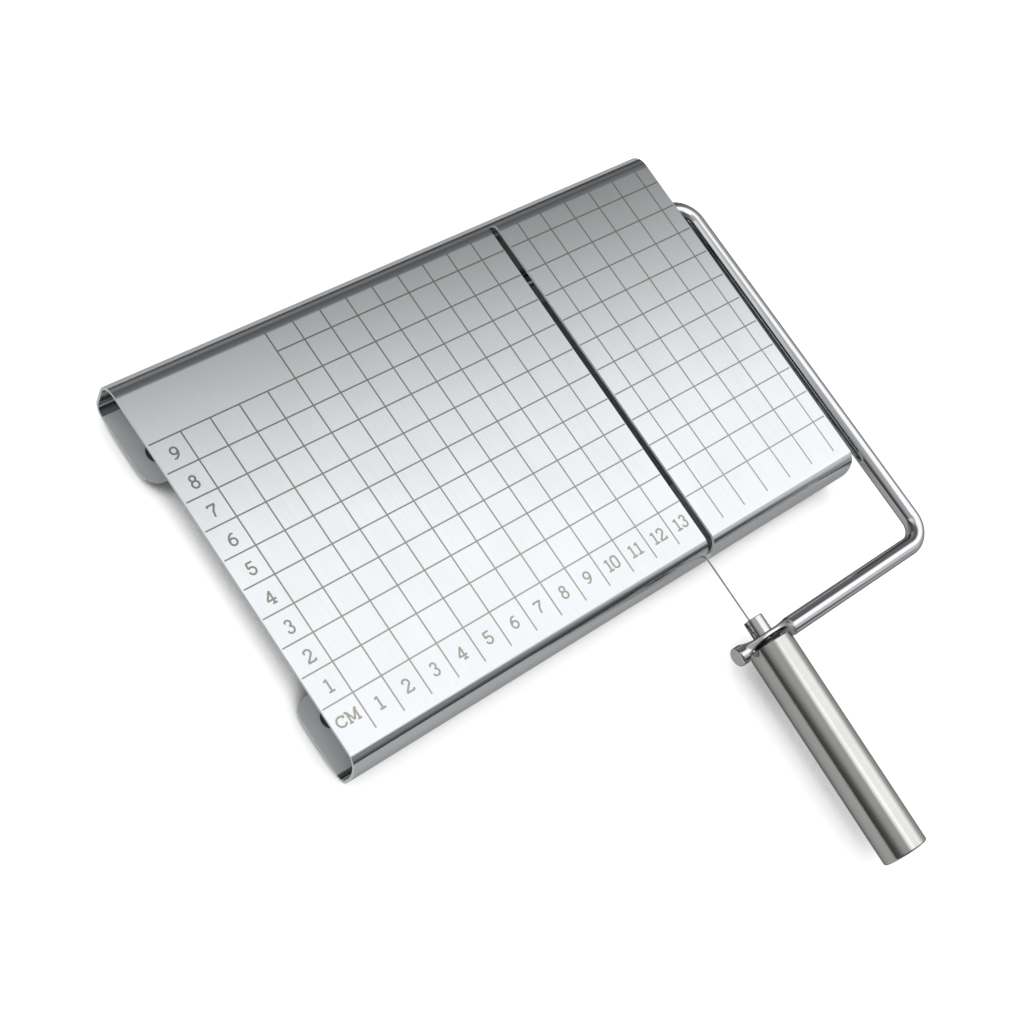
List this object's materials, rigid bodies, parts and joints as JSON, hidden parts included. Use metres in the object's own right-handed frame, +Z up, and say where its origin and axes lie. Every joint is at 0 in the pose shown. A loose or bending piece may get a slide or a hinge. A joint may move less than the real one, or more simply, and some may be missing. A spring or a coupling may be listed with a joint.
{
  "type": "wire butter slicer",
  "caption": "Folded steel slicing board with a centimetre grid, a wire slot and a swinging rod frame that carries the cutting wire and its turning tension handle.",
  "frame": {"origin": "middle of the whole object's footprint, at the underside of the feet", "axes": "+Z up, -Y towards the handle and its user, +X towards the end that the frame's arm passes"},
  "size_m": [0.2241, 0.246, 0.022],
  "materials": {
    "sheet_steel": "polished sheet",
    "chrome_rod": "mirror chrome",
    "satin_steel": "satin",
    "stud_steel": "turned bright",
    "strap_steel": "mill finish",
    "spring_steel": "oiled spring",
    "wire_steel": "drawn wire",
    "black_rubber": "matte",
    "black_nylon": "moulded",
    "white_nylon": "moulded"
  },
  "bodies": {
    "board": {"board_sheet": "sheet_steel", "foot_front_left": "black_rubber", "foot_front_right": "black_rubber", "foot_rear_left": "black_rubber", "foot_rear_right": "black_rubber", "saddle_inner": "strap_steel", "saddle_outer": "strap_steel", "sleeve_inner": "white_nylon", "sleeve_outer": "white_nylon"},
    "frame": {"swing_frame": "chrome_rod", "ring_inner": "spring_steel", "ring_outer": "spring_steel", "cutting_wire": "wire_steel", "wire_ferrule_rear": "stud_steel", "wire_ferrule_front": "stud_steel", "tension_washer": "black_nylon"},
    "stud": {"tension_stud": "stud_steel"},
    "handle": {"handle_tube": "satin_steel", "handle_plug": "strap_steel", "handle_end_disc": "satin_steel"}
  },
  "joints": [
    {"name": "frame_hinge", "type": "hinge", "parent": "board", "child": "frame", "pos_m": [0.02987, 0.09995, 0.0141], "axis": [-1, 0, 0], "range_deg": [0, 150]},
    {"name": "handle_turn", "type": "hinge", "parent": "frame", "child": "handle", "pos_m": [0.02987, -0.04375, 0.0141], "axis": [-0.0346, -0.9994, 0], "range_deg": [0, 900]},
    {"name": "stud_slide", "type": "slide", "parent": "frame", "child": "stud", "axis": [0.0346, 0.9994, 0], "range_m": [0, 0.0021]}
  ],
  "couplings": [
    {"joint": "stud_slide", "follows": "handle_turn", "m_per_rad": 0.00012732}
  ]
}
